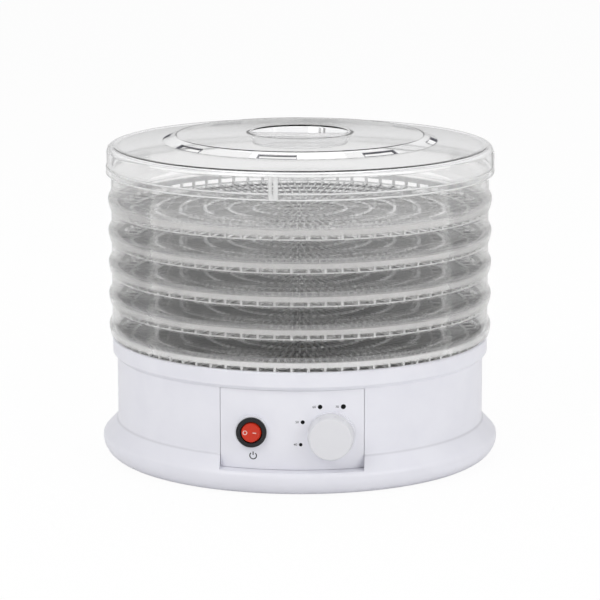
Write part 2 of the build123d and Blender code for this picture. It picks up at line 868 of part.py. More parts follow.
with BuildPart() as thermostat_shaft:
    with BuildSketch(front(knob_back + knob_bore_depth - rest_gap, dial_x, dial_z)):
        Circle(dial_shaft)
    extrude(amount=pad_back - dial_shaft_seat + 2 * rest_gap - knob_back - knob_bore_depth)
finish(thermostat_shaft.part, "thermostat_shaft")

with BuildPart() as thermostat_screws:
    with BuildSketch(front(pad_reach, dial_x, dial_z)):
        with Locations((-thermostat_screw_x, 0), (thermostat_screw_x, 0)):
            Circle(screw_head)
    extrude(amount=-screw_head_height)
    with BuildSketch(front(pad_reach, dial_x, dial_z)):
        with Locations((-thermostat_screw_x, 0), (thermostat_screw_x, 0)):
            Circle(screw_radius)
    extrude(amount=-pad_plate - dial_shaft_seat + screw_head_height)
finish(thermostat_screws.part, "thermostat_screws")

with BuildPart() as thermostat_terminals:
    with BuildSketch(front(thermostat_back, dial_x, dial_z)):
        with Locations((-thermostat_screw_x, 0), (thermostat_screw_x, 0)):
            Rectangle(tab_sheet, tab_width)
    extrude(amount=-tab_length)
finish(thermostat_terminals.part, "thermostat_terminals")

with BuildPart() as dial_knob:
    with BuildSketch(front(knob_back, dial_x, dial_z)):
        Circle(knob_radius)
    extrude(amount=knob_depth, taper=knob_taper)
    fillet(dial_knob.faces().sort_by(Axis.Y)[0].edges(), knob_round)
    with BuildSketch(front(knob_back, dial_x, dial_z)):
        Circle(dial_shaft + screw_gap / 2)
    extrude(amount=knob_bore_depth, mode=Mode.SUBTRACT)
finish(dial_knob.part, "dial_knob")

# Switch: a round bezel and barrel, a red rocker on two trunnions, tilted to off at rest
with BuildPart() as switch_body:
    with BuildSketch(front(pad_reach, switch_x, switch_z)):
        Circle(bezel_radius)
    extrude(amount=bezel_plate)
    fillet(switch_body.faces().sort_by(Axis.Y)[0].edges(), bezel_round)
    with BuildSketch(front(pad_reach, switch_x, switch_z)):
        Circle(barrel_radius)
    extrude(amount=-barrel_depth)
    with BuildSketch(front(pad_reach + bezel_plate, switch_x, switch_z)):
        Circle(barrel_bore)
    extrude(amount=barrel_floor - barrel_depth - bezel_plate, mode=Mode.SUBTRACT)
    with BuildSketch(Plane(origin=(switch_x, -switch_reach, switch_z))):
        Circle(trunnion_radius + turn_gap)
    extrude(amount=barrel_radius + turn_gap, both=True, mode=Mode.SUBTRACT)
finish(switch_body.part, "switch_body")

rocker_across = (cos(radians(rocker_tilt)), -sin(radians(rocker_tilt)), 0)
rocker_side = Plane(origin=(switch_x, -switch_reach, switch_z), x_dir=rocker_across, z_dir=(0, 0, -1))
facet_rise = rocker_ball * sin(radians(rocker_tilt))

with BuildPart() as switch_rocker:
    with BuildSketch(rocker_side):
        with BuildLine():
            Polyline(
                (0, rocker_face),
                (rocker_ball, rocker_face + facet_rise),
                (rocker_ball, -rocker_back),
                (-rocker_ball, -rocker_back),
                (-rocker_ball, rocker_face + facet_rise),
                close=True,
            )
        make_face()
    extrude(amount=rocker_ball, both=True)
    with Locations(rocker_side.origin):
        Sphere(rocker_ball, mode=Mode.INTERSECT)
    with BuildSketch(Plane(origin=rocker_side.origin)):
        Circle(trunnion_radius)
    extrude(amount=barrel_bore + trunnion_seat, both=True)
finish(switch_rocker.part, "switch_rocker")

with BuildPart() as switch_terminals:
    with BuildSketch(front(barrel_back, switch_x, switch_z)):
        with Locations((0, -barrel_radius / 2), (0, barrel_radius / 2)):
            Rectangle(tab_width, tab_sheet)
    extrude(amount=-tab_length)
finish(switch_terminals.part, "switch_terminals")

# Cord inlet: a bush in the rear wall with an oval way through it
with BuildPart() as cord_gland:
    with BuildSketch(outward(90, base_radius + screw_gap, gland_z)):
        Circle(gland_flange)
    extrude(amount=gland_flange_plate)
    with BuildSketch(outward(90, base_radius + screw_gap, gland_z)):
        Circle(gland_radius)
    extrude(amount=-base_wall - slip_gap - gland_lip_plate)
    with BuildSketch(outward(90, base_bore - slip_gap, gland_z)):
        Circle(gland_lip)
    extrude(amount=-gland_lip_plate)
    with BuildSketch(outward(90, base_radius + gland_flange_plate + screw_gap, gland_z)):
        SlotOverall(cord_slot_width, cord_slot_height)
    extrude(amount=-2 * gland_flange_plate - base_wall - gland_lip_plate, mode=Mode.SUBTRACT)
finish(cord_gland.part, "cord_gland")

# Terminal block on the bottom cover, with three ways through it
way_z = cover_top + block_height / 2

with BuildPart() as terminal_block:
    with BuildSketch(Plane.XY.offset(cover_top)):
        with Locations((0, block_y)):
            Rectangle(block_length, block_width)
    extrude(amount=block_height)
    with BuildSketch(outward(90, block_y - block_width, way_z)):
        with Locations((-block_pitch, 0), (0, 0), (block_pitch, 0)):
            Circle(block_way)
    extrude(amount=2 * block_width, mode=Mode.SUBTRACT)
finish(terminal_block.part, "terminal_block")

# Thermal fuse standing against the duct
fuse_reach = duct_radius + duct_sheet + rest_gap + fuse_radius
fuse_spot = outward(fuse_turn, fuse_reach, heater_z).origin
fuse_top = heater_z - 2 * wire_bend
fuse_bottom = fuse_top - fuse_length

with BuildPart() as thermal_fuse:
    with BuildSketch(Plane(origin=(fuse_spot.X, fuse_spot.Y, fuse_bottom))):
        Circle(fuse_radius)
    extrude(amount=fuse_length)
finish(thermal_fuse.part, "thermal_fuse")

# Wires between the switch, thermostat, fuse, heater, motor and terminal block
switch_tab = tab_length - barrel_back
thermostat_tab = tab_length - thermostat_back
coil_edge = heater_outer + heater_tube
return_reach = duct_radius + duct_sheet + 2 * wire_bend
coil_rear = core_back + coil_build
block_front = block_y - block_width / 2
way_end = block_y - block_width / 4
fuse_coil = outward(fuse_turn, coil_edge, heater_z).origin
return_coil = outward(return_turn, coil_edge, heater_z).origin
return_out = outward(return_turn, return_reach, heater_z).origin

wire_routes = [
    [
        (switch_x, switch_tab, switch_z - barrel_radius / 2),
        (switch_x, switch_tab + wire_clear, switch_z - barrel_radius / 2),
        (-85, -85, 30),
        (-100, 0, way_z),
        (-60, 75, way_z),
        (-block_pitch, block_front - wire_clear, way_z),
        (-block_pitch, way_end, way_z),
    ],
    [
        (switch_x, switch_tab, switch_z + barrel_radius / 2),
        (switch_x, switch_tab + wire_clear, switch_z + barrel_radius / 2),
        (dial_x - thermostat_screw_x, thermostat_tab + wire_clear, dial_z),
        (dial_x - thermostat_screw_x, thermostat_tab, dial_z),
    ],
    [
        (dial_x + thermostat_screw_x, thermostat_tab, dial_z),
        (dial_x + thermostat_screw_x, thermostat_tab + wire_clear, dial_z),
        (fuse_spot.X, fuse_spot.Y, fuse_bottom - 2 * wire_bend),
        (fuse_spot.X, fuse_spot.Y, fuse_bottom),
    ],
    [
        (fuse_spot.X, fuse_spot.Y, fuse_top),
        (fuse_spot.X, fuse_spot.Y, heater_z),
        (fuse_coil.X, fuse_coil.Y, heater_z),
    ],
    [
        (return_coil.X, return_coil.Y, heater_z),
        (return_out.X, return_out.Y, heater_z),
        (return_out.X, return_out.Y, way_z),
        (0, block_front - wire_clear, way_z),
        (0, way_end, way_z),
    ],
    [
        (block_pitch, coil_rear, core_middle),
        (block_pitch, coil_rear + wire_clear, core_middle),
        (block_pitch, coil_rear + 2 * wire_clear, way_z),
        (block_pitch, way_end, way_z),
    ],
]

with BuildPart() as wiring:
    for points in wire_routes:
        with BuildLine() as route:
            FilletPolyline(*points, radius=wire_bend)
        with BuildSketch(Plane(origin=points[0], z_dir=Vector(points[1]) - Vector(points[0]))) as section:
            Circle(wire_radius)
        sweep(section.sketch, path=route.line)
finish(wiring.part, "wiring")
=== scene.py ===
import json
import math

import bmesh
import bpy
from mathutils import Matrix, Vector


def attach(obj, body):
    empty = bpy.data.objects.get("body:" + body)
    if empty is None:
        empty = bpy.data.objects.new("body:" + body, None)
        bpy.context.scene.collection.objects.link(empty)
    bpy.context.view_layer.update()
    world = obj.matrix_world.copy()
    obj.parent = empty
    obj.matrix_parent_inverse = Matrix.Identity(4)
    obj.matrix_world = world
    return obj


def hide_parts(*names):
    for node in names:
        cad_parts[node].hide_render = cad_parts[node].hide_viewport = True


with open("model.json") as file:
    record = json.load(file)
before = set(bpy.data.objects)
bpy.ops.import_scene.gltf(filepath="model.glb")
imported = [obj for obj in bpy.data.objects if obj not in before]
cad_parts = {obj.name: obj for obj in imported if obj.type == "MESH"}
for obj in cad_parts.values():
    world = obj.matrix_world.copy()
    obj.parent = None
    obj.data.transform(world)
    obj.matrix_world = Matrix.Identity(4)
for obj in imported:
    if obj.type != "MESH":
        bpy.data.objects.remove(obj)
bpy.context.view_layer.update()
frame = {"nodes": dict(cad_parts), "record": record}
nodes = frame["nodes"]

# Sizes are in mm in the part's own frame, and angles are in degrees or radians as written
MM = 0.001
ROUND = 180             # steps round a turned piece
FLOOR_ROUND = 120       # steps round a ring of a tray's floor
LID_ROUND = 360         # steps round the lid, one for each degree
CORNER_STEPS = 4
ARC_STEPS = 10
SWELL_STEPS = 12
SPOT_STEPS = 32
WELD = 2e-6             # vertices nearer than this, in metres, are one
SHARP_RIBS = 20.0
SHARP_LID = 35.0
SHARP_BOXES = 60.0
PRINT_PROUD = 0.08      # of a print above what it is printed on

# Scales of the noises and steps of the blends in the materials
GLOSS_PATCH = 5.0
GRAIN = 2500.0
GRAIN_DETAIL = 2.0
GRAIN_STRENGTH = 0.4
CLEAR_PATCH = 60.0
SPARKLE_PATCH = 300.0
COVER_PATCH = 400.0
RIB_GLOSS_PATCH = 200.0
# Where a veil's painted shade on sideways faces gives way to its painted highlight on faces turned up
FACES_SIDEWAYS = 0.2
FACES_UP = 0.9

# A painted shadow line where the skirt of the base begins
CREASE_SHADOW_HEIGHT = 30.2
CREASE_SHADOW_HALF = 1.2
CREASE_SHADOW_SHADE = 0.84


# Materials
def new_material(name):
    """A node material with its Principled shader."""
    made = bpy.data.materials.new(name)
    made.use_nodes = True
    return made, made.node_tree, made.node_tree.nodes["Principled BSDF"]


def noise(tree, scale, detail=3.0):
    """A noise in object space, in metres."""
    place = tree.nodes.new("ShaderNodeTexCoord")
    made = tree.nodes.new("ShaderNodeTexNoise")
    made.inputs["Scale"].default_value = scale
    made.inputs["Detail"].default_value = detail
    tree.links.new(place.outputs["Object"], made.inputs["Vector"])
    return made.outputs["Fac"]


def ramp(tree, fac, low, high, start=0.3, end=0.7):
    """A blend from one colour to another along a number."""
    made = tree.nodes.new("ShaderNodeValToRGB")
    made.color_ramp.elements[0].position = start
    made.color_ramp.elements[0].color = (*low, 1)
    made.color_ramp.elements[1].position = end
    made.color_ramp.elements[1].color = (*high, 1)
    tree.links.new(fac, made.inputs["Fac"])
    return made.outputs["Color"]


def spread(tree, fac, low, high):
    """A number from 0 to 1 spread over a range."""
    made = tree.nodes.new("ShaderNodeMapRange")
    made.inputs["To Min"].default_value = low
    made.inputs["To Max"].default_value = high
    tree.links.new(fac, made.inputs["Value"])
    return made.outputs["Result"]


def bump(tree, shader, fac, depth):
    """A relief of a depth in metres."""
    made = tree.nodes.new("ShaderNodeBump")
    made.inputs["Strength"].default_value = GRAIN_STRENGTH
    made.inputs["Distance"].default_value = depth
    tree.links.new(fac, made.inputs["Height"])
    tree.links.new(made.outputs["Normal"], shader.inputs["Normal"])


def surface(name, low, high, rough, patch=40.0, depth=0.00003, metal=0.0, shine=0.5):
    """A moulded, painted or rolled surface: a slow drift of colour, a drift of gloss and a fine grain."""
    made, tree, shader = new_material(name)
    tree.links.new(ramp(tree, noise(tree, patch), low, high), shader.inputs["Base Color"])
    tree.links.new(spread(tree, noise(tree, patch * GLOSS_PATCH), *rough), shader.inputs["Roughness"])
    shader.inputs["Metallic"].default_value = metal
    shader.inputs["Specular IOR Level"].default_value = shine
    bump(tree, shader, noise(tree, GRAIN, GRAIN_DETAIL), depth)
    return made


def clear(name, tint, rough, ior, body):
    """Clear moulded plastic: so much of it bends the light, and the rest lets it straight through."""
    made, tree, shader = new_material(name)
    shader.inputs["Base Color"].default_value = (*tint, 1)
    shader.inputs["Alpha"].default_value = body
    shader.inputs["Transmission Weight"].default_value = 1.0
    shader.inputs["IOR"].default_value = ior
    tree.links.new(spread(tree, noise(tree, CLEAR_PATCH), *rough), shader.inputs["Roughness"])
    return made


def veil(name, side, top, cover, rough, sparkle=0.0):
    """Clear plastic in thin ribs, with light painted into its colour: painted shade on faces that turn sideways, a
    painted highlight on faces that turn up, scattered by a noise of painted glints, and so far as its cover is below 1
    seen through.
    """
    made, tree, shader = new_material(name)
    facing = tree.nodes.new("ShaderNodeNewGeometry")
    split = tree.nodes.new("ShaderNodeSeparateXYZ")
    tree.links.new(facing.outputs["Normal"], split.inputs["Vector"])
    lift = tree.nodes.new("ShaderNodeMath")
    lift.operation = "ADD"
    tree.links.new(split.outputs["Z"], lift.inputs[0])
    tree.links.new(spread(tree, noise(tree, SPARKLE_PATCH, 0.0), -sparkle, sparkle), lift.inputs[1])
    # Painted light: paler where the face turns up, darker where it turns sideways
    pale = ramp(tree, lift.outputs[0], side, top, FACES_SIDEWAYS, FACES_UP)
    tree.links.new(pale, shader.inputs["Base Color"])
    if cover[0] < 1:
        tree.links.new(spread(tree, noise(tree, COVER_PATCH), *cover), shader.inputs["Alpha"])
    tree.links.new(spread(tree, noise(tree, RIB_GLOSS_PATCH), *rough), shader.inputs["Roughness"])
    return made


def painted_crease_shadow(made):
    """The same surface with a thin painted shadow line round it, at one height: its colour darkens towards that height.
    """
    tree = made.node_tree
    shader = tree.nodes["Principled BSDF"]
    colour = shader.inputs["Base Color"].links[0].from_socket
    place = tree.nodes.new("ShaderNodeNewGeometry")
    split = tree.nodes.new("ShaderNodeSeparateXYZ")
    tree.links.new(place.outputs["Position"], split.inputs["Vector"])
    away = tree.nodes.new("ShaderNodeMath")
    away.operation = "SUBTRACT"
    away.inputs[1].default_value = CREASE_SHADOW_HEIGHT * MM
    tree.links.new(split.outputs["Z"], away.inputs[0])
    size = tree.nodes.new("ShaderNodeMath")
    size.operation = "ABSOLUTE"
    tree.links.new(away.outputs[0], size.inputs[0])
    fade = tree.nodes.new("ShaderNodeMapRange")
    fade.inputs["From Max"].default_value = CREASE_SHADOW_HALF * MM
    fade.inputs["To Min"].default_value = CREASE_SHADOW_SHADE
    tree.links.new(size.outputs[0], fade.inputs["Value"])
    dim = tree.nodes.new("ShaderNodeVectorMath")
    dim.operation = "SCALE"
    tree.links.new(colour, dim.inputs[0])
    tree.links.new(fade.outputs["Result"], dim.inputs["Scale"])
    tree.links.new(dim.outputs["Vector"], shader.inputs["Base Color"])
    return made


WHITE = ((0.77, 0.77, 0.83), (0.80, 0.80, 0.855), (0.30, 0.38))
white_plastic = surface("white_plastic", *WHITE)
# The base's shell: the white plastic with a painted shadow line at the crease of its skirt
shell_plastic_painted_shadow = painted_crease_shadow(surface("shell_plastic_painted_shadow", *WHITE))
panel_plastic = surface("panel_plastic", (0.78, 0.78, 0.835), (0.81, 0.81, 0.86), (0.34, 0.42))
knob_plastic = surface("knob_plastic", (0.71, 0.71, 0.74), (0.74, 0.74, 0.765), (0.38, 0.48))
black_plastic = surface("black_plastic", (0.010, 0.010, 0.012), (0.017, 0.017, 0.019), (0.28, 0.40), shine=0.3)
deck_plastic = surface("deck_plastic", (0.014, 0.013, 0.013), (0.022, 0.021, 0.020), (0.45, 0.60), shine=0.1)
red_plastic = surface("red_plastic", (0.53, 0.027, 0.009), (0.60, 0.035, 0.013), (0.25, 0.34), shine=0.3)
grey_plastic = surface("grey_plastic", (0.30, 0.30, 0.31), (0.36, 0.36, 0.37), (0.35, 0.5))
cream_plastic = surface("cream_plastic", (0.74, 0.70, 0.60), (0.80, 0.76, 0.66), (0.4, 0.55))
wire_cover = surface("wire_cover", (0.62, 0.60, 0.54), (0.70, 0.68, 0.62), (0.4, 0.5))
black_rubber = surface("black_rubber", (0.018, 0.018, 0.018), (0.03, 0.03, 0.03), (0.6, 0.8), depth=0.00008)
steel = surface("steel", (0.50, 0.50, 0.51), (0.62, 0.62, 0.63), (0.22, 0.38), metal=1.0)
core_steel = surface("core_steel", (0.16, 0.165, 0.18), (0.24, 0.245, 0.26), (0.35, 0.5), metal=0.8)
sheet_metal = surface("sheet_metal", (0.60, 0.60, 0.61), (0.74, 0.74, 0.75), (0.25, 0.4), metal=1.0)
copper = surface("copper", (0.58, 0.27, 0.14), (0.70, 0.36, 0.20), (0.25, 0.4), metal=0.9)
bronze = surface("bronze", (0.60, 0.42, 0.20), (0.70, 0.50, 0.26), (0.4, 0.55), metal=1.0)
brass = surface("brass", (0.72, 0.56, 0.26), (0.80, 0.64, 0.32), (0.22, 0.35), metal=1.0)
heater_wire = surface("heater_wire", (0.34, 0.32, 0.30), (0.44, 0.42, 0.39), (0.4, 0.6), metal=0.9)
mica = surface("mica", (0.55, 0.49, 0.37), (0.66, 0.60, 0.48), (0.3, 0.5), patch=90.0)
ink = surface("ink", (0.004, 0.004, 0.005), (0.008, 0.008, 0.009), (0.5, 0.6), shine=0.1)
pale_ink = surface("pale_ink", (0.80, 0.62, 0.58), (0.86, 0.68, 0.64), (0.35, 0.45))
knob_mark = surface("knob_mark", (0.62, 0.62, 0.66), (0.66, 0.66, 0.70), (0.4, 0.5))
clear_lid = clear("clear_lid", (0.985, 0.985, 0.99), (0.015, 0.04), 1.41, 1.0)
clear_wall = clear("clear_wall", (0.95, 0.945, 0.94), (0.015, 0.04), 1.25, 0.60)
# The floor's ribs carry painted light: painted dark on their sides as shade and pale on top as highlight
clear_grid = veil("clear_grid", (0.30, 0.30, 0.30), (0.80, 0.80, 0.80), (1.0, 1.0), (0.25, 0.40), 0.15)
# Near-white pips: painted highlights where the ribs cross the rings
pip_painted_highlight = veil("pip_painted_highlight", (0.80, 0.80, 0.80), (0.96, 0.96, 0.96), (1.0, 1.0), (0.12, 0.22), 0.15)
# Near-white edges, a painted highlight: on the tray windows' band, line and bars, on the lid's foot lines and on its
# ribs
painted_edge_highlight = veil("painted_edge_highlight", (0.92, 0.92, 0.92), (0.96, 0.96, 0.96), (0.65, 0.80), (0.08, 0.16))
# Dark grey for the vents' lips and sides: painted shade for the dark of the openings in the clear lid
painted_vent_shade = veil("painted_vent_shade", (0.22, 0.22, 0.25), (0.28, 0.28, 0.31), (0.60, 0.75), (0.10, 0.20))
clear_inner = veil("clear_inner", (0.86, 0.86, 0.87), (0.95, 0.95, 0.95), (0.05, 0.09), (0.08, 0.16))

LOOKS = {
    "white_plastic": white_plastic, "panel_plastic": panel_plastic, "knob_plastic": knob_plastic,
    "black_plastic": black_plastic, "red_plastic": red_plastic, "grey_plastic": grey_plastic,
    "cream_plastic": cream_plastic, "wire_cover": wire_cover, "black_rubber": black_rubber, "steel": steel,
    "core_steel": core_steel, "sheet_metal": sheet_metal, "copper": copper, "bronze": bronze, "brass": brass,
    "heater_wire": heater_wire, "mica": mica, "clear_plastic": clear_lid,
}
OWN_LOOKS = {"air_deck": deck_plastic, "fan_guard": deck_plastic, "base_shell": shell_plastic_painted_shadow}
for part in frame["record"]["subparts"]:
    look = OWN_LOOKS.get(part["node"], LOOKS[part["material_slot"]])
    slots = nodes[part["node"]].data.materials
    slots.clear()
    slots.append(look)


# Meshes
def piece(name, build, look, body, sharp=40.0):
    """A mesh piece that rides on a body, smooth but for its sharp edges, its large faces shaded flat."""
    build_mesh = bmesh.new()
    build(build_mesh)
    bmesh.ops.remove_doubles(build_mesh, verts=build_mesh.verts, dist=WELD)
    bmesh.ops.recalc_face_normals(build_mesh, faces=build_mesh.faces)
    mesh = bpy.data.meshes.new(name)
    build_mesh.to_mesh(mesh)
    build_mesh.free()
    mesh.shade_smooth()
    mesh.set_sharp_from_angle(angle=math.radians(sharp))
    mesh.materials.append(look)
    made = bpy.data.objects.new(name, mesh)
    bpy.context.scene.collection.objects.link(made)
    made.modifiers.new("weighted", "WEIGHTED_NORMAL").keep_sharp = True
    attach(made, body)
    return made


def rounded(corners):
    """A closed loop of (radius, height, rounding) corners in mm, with each corner rounded."""
    points = []
    count = len(corners)
    for i, (r, z, size) in enumerate(corners):
        here = Vector((r, z))
        if size == 0:
            points.append(here)
            continue
        before = (Vector(corners[i - 1][:2]) - here).normalized()
        after = (Vector(corners[(i + 1) % count][:2]) - here).normalized()
        half = before.angle(after) / 2
        reach = size / math.tan(half)
        middle = here + (before + after).normalized() * (size / math.sin(half))
        start = here + before * reach - middle
        end = here + after * reach - middle
        sweep = start.angle_signed(end)
        for step in range(CORNER_STEPS + 1):
            turn = -sweep * step / CORNER_STEPS
            arm = Vector((
                start.x * math.cos(turn) - start.y * math.sin(turn),
                start.x * math.sin(turn) + start.y * math.cos(turn),
            ))
            points.append(middle + arm)
    return points


def arc(start, end):
    """Points on one circle, from a place where it runs upright to an end."""
    rise = end[1] - start[1]
    tuck = start[0] - end[0]
    radius = (tuck * tuck + rise * rise) / (2 * tuck)
    sweep = math.asin(rise / radius)
    turns = [sweep * step / ARC_STEPS for step in range(ARC_STEPS + 1)]
    return [
        Vector((start[0] - radius * (1 - math.cos(turn)), start[1] + radius * math.sin(turn))) for turn in turns
    ]


def ring_of(grid, loop, lift, segments=ROUND):
    """Turns a closed loop of (radius, height) in mm about the axis; returns its rings of vertices."""
    rings = []
    for s in range(segments):
        turn = 2 * math.pi * s / segments
        rings.append([
            grid.verts.new((r * math.cos(turn) * MM, r * math.sin(turn) * MM, (z + lift) * MM)) for r, z in loop
        ])
    for s in range(segments):
        here, there = rings[s], rings[(s + 1) % segments]
        for j in range(len(loop)):
            k = (j + 1) % len(loop)
            grid.faces.new((here[j], there[j], there[k], here[k]))
    return rings


def bar(grid, turn, near, far, wide, narrow, low, high):
    """A radial rib from one radius to another, wider at its foot than at its top, in mm."""
    way = Vector((math.cos(turn), math.sin(turn), 0))
    side = Vector((-math.sin(turn), math.cos(turn), 0))
    places = []
    for reach in (near, far):
        for offset, height in ((-wide, low), (wide, low), (narrow, high), (-narrow, high)):
            places.append(grid.verts.new((way * reach + side * offset / 2 + Vector((0, 0, height))) * MM))
    a = places[:4]
    b = places[4:]
    for i in range(4):
        k = (i + 1) % 4
        grid.faces.new((a[i], a[k], b[k], b[i]))
    grid.faces.new(a[::-1])
    grid.faces.new(b)


# Trays: a turned wall with its bead and skirt, a shelf and a spigot inside it, and a ribbed floor
# Heights of a tray are from its bead plane, where it meets the tray below
TRAYS = (1, 2, 3, 4, 5)
TRAY_PITCH = 26.65
LOWEST_BEAD = 110.7
WALL_OUT = 157.4
WALL_IN = 155.4
RIM = 25.25
RIM_SOFT = 0.5
BEAD_PROUD = 2.6
BEAD_RISE = 8.0
SKIRT_OUT = 158.6
SKIRT_IN = 157.8
SKIRT_FOOT = -7.5
SHELF_OUT = 157.7
SHELF_IN = 154.0
SHELF_TOP = 0.8
SHELF_BOTTOM = -1.2
SHELF_SOFT = 0.3
SPIGOT_OUT = 154.5
SPIGOT_IN = 152.3
SPIGOT_SOFT = 0.6
SPIGOT_FOOT_SOFT = 0.5
WINDOWS = 72
WINDOW_TOP = -7.0
WINDOW_FOOT = -10.4
WINDOW_LINE = 0.8       # height of the line below the windows
WINDOW_BAND = 4.0       # height of the band above them
WINDOW_BAR = 1.9
LINE_PROUD = 0.1
BAR_PROUD = 0.05
BAR_LAP = 0.2
FLOOR_TOP = -11.0
FLOOR_BOTTOM = -13.0
ROWS = 6
ROW_EDGE = 140.8
HUB = 18.0
HUB_EYE = 1.0
HUB_RIBS = 12
ROW = (ROW_EDGE - HUB) / ROWS
RING_FOOT = 1.1         # half widths of a ring
RING_TOP = 0.6
RIB_PITCH = 5.8
RIB_FOOT = 1.9
RIB_TOP = 0.9
RIB_LAP = 0.8
RIB_RAISE = 0.4
RIB_SINK = 0.1
SPOKE_END = 152.4
SPOKE_FOOT = 4.2
SPOKE_TOP = 3.4
PIP_REACH = 1.4
PIP_FOOT = 3.0
PIP_TOP = 1.6
PIP_SINK = 0.2
PIP_RISE = 1.2


def swell(wall):
    """A line that leaves the bead and eases into the wall above it."""
    shares = [step / SWELL_STEPS for step in range(SWELL_STEPS + 1)]
    return [Vector((wall + BEAD_PROUD * (1 + math.cos(math.pi * s)) / 2, BEAD_RISE * s)) for s in shares]


BEAD_DOWN = arc((WALL_OUT + BEAD_PROUD, 0.0), (SKIRT_OUT, SKIRT_FOOT))
WALL_TOP = rounded([
    (WALL_OUT, BEAD_RISE, 0.0), (WALL_OUT, RIM, RIM_SOFT), (WALL_IN, RIM, RIM_SOFT), (WALL_IN, BEAD_RISE, 0.0),
])
WALL_LOOP = (
    BEAD_DOWN[::-1] + swell(WALL_OUT)[1:-1] + WALL_TOP + swell(WALL_IN)[-2::-1] + [Vector((SKIRT_IN, SKIRT_FOOT))]
)
SHELF_LOOP = rounded([
    (SHELF_OUT, SHELF_TOP, SHELF_SOFT), (SHELF_IN, SHELF_TOP, 0.0), (SHELF_IN, SHELF_BOTTOM, 0.0),
    (SHELF_OUT, SHELF_BOTTOM, SHELF_SOFT),
])
SPIGOT_LOOP = rounded([
    (SPIGOT_OUT, SHELF_TOP, 0.0), (SPIGOT_IN, SHELF_TOP, SPIGOT_SOFT), (SPIGOT_IN, WINDOW_TOP, 0.0),
    (SPIGOT_OUT, WINDOW_TOP, 0.0),
])
SPIGOT_FOOT = rounded([
    (SPIGOT_OUT, WINDOW_FOOT, 0.0), (SPIGOT_IN, WINDOW_FOOT, 0.0), (SPIGOT_IN, FLOOR_BOTTOM, SPIGOT_FOOT_SOFT),
    (SPIGOT_OUT, FLOOR_BOTTOM, SPIGOT_FOOT_SOFT),
])


def turned(loop, lift):
    """A builder of one loop turned about the axis."""
    def build(grid):
        ring_of(grid, loop, lift)
    return build


def hoop(grid, edge, lift):
    """A ring of the floor, wider at its foot than at its top."""
    ring_of(grid, [
        (edge - RING_FOOT, FLOOR_BOTTOM), (edge + RING_FOOT, FLOOR_BOTTOM), (edge + RING_TOP, FLOOR_TOP),
        (edge - RING_TOP, FLOOR_TOP),
    ], lift, FLOOR_ROUND)


def ribs_round(grid, count, near, far, lift):
    """Thin ribs of the floor, evenly round the axis."""
    low = lift + FLOOR_BOTTOM + RIB_RAISE
    high = lift + FLOOR_TOP - RIB_SINK
    for rib in range(count):
        bar(grid, 2 * math.pi * rib / count, near, far, RIB_FOOT, RIB_TOP, low, high)


def tray_floor(lift):
    """A floor of rings with close ribs between them, and wider spokes out to the spigot."""
    def build(grid):
        hoop(grid, ROW_EDGE, lift)
        for row in range(ROWS):
            hoop(grid, HUB + row * ROW, lift)
            near = HUB + row * ROW + RIB_LAP
            far = HUB + (row + 1) * ROW - RIB_LAP
            ribs_round(grid, int(math.pi * (near + far) / RIB_PITCH), near, far, lift)
        ribs_round(grid, HUB_RIBS, HUB_EYE, HUB - RIB_LAP, lift)
        low = lift + FLOOR_BOTTOM
        high = lift + FLOOR_TOP
        for spoke in range(WINDOWS):
            turn = 2 * math.pi * spoke / WINDOWS
            bar(grid, turn, ROW_EDGE + RIB_LAP, SPOKE_END, SPOKE_FOOT, SPOKE_TOP, low, high)
    return build


def tray_windows(lift):
    """The row of windows through the spigot: a band above, a line below and a bar between each two."""
    def build(grid):
        near = SPIGOT_IN - LINE_PROUD
        far = SPIGOT_OUT + LINE_PROUD
        for low, high in ((WINDOW_TOP, WINDOW_TOP + WINDOW_BAND), (WINDOW_FOOT - WINDOW_LINE, WINDOW_FOOT)):
            ring_of(grid, [(near, low), (far, low), (far, high), (near, high)], lift)
        low = lift + WINDOW_FOOT - BAR_LAP
        high = lift + WINDOW_TOP + BAR_LAP
        for rib in range(WINDOWS):
            turn = 2 * math.pi * rib / WINDOWS
            bar(grid, turn, SPIGOT_IN - BAR_PROUD, SPIGOT_OUT + BAR_PROUD, WINDOW_BAR, WINDOW_BAR, low, high)
    return build


def tray_spigot(lift):
    """The spigot above the windows and below them."""
    def build(grid):
        ring_of(grid, SPIGOT_LOOP, lift)
        ring_of(grid, SPIGOT_FOOT, lift)
    return build


def tray_pips(lift):
    """Small bumps on the rings, as close as the ribs inside each ring."""
    def build(grid):
        low = lift + FLOOR_TOP - PIP_SINK
        high = lift + FLOOR_TOP + PIP_RISE
        for row in range(1, ROWS + 1):
            edge = HUB + row * ROW
            pips = int(2 * math.pi * (edge - ROW / 2) / RIB_PITCH)
            for pip in range(pips):
                turn = 2 * math.pi * pip / pips
                bar(grid, turn, edge - PIP_REACH, edge + PIP_REACH, PIP_FOOT, PIP_TOP, low, high)
    return build


for number in TRAYS:
    plane = LOWEST_BEAD + (len(TRAYS) - number) * TRAY_PITCH
    body = f"tray_{number}"
    wall = piece(f"tray_{number}_wall", turned(WALL_LOOP, plane), clear_wall, body)
    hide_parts(body)
    piece(f"tray_{number}_shelf", turned(SHELF_LOOP, plane), clear_inner, body)
    piece(f"tray_{number}_spigot", tray_spigot(plane), clear_inner, body)
    piece(f"tray_{number}_floor", tray_floor(plane), clear_grid, body, SHARP_RIBS)
    # The windows' band, line and bars are near white, as painted highlights
    piece(f"tray_{number}_windows", tray_windows(plane), painted_edge_highlight, body, SHARP_RIBS)
    # The pips are near white: painted highlights where the ribs meet the rings
    piece(f"tray_{number}_pips", tray_pips(plane), pip_painted_highlight, body, SHARP_RIBS)


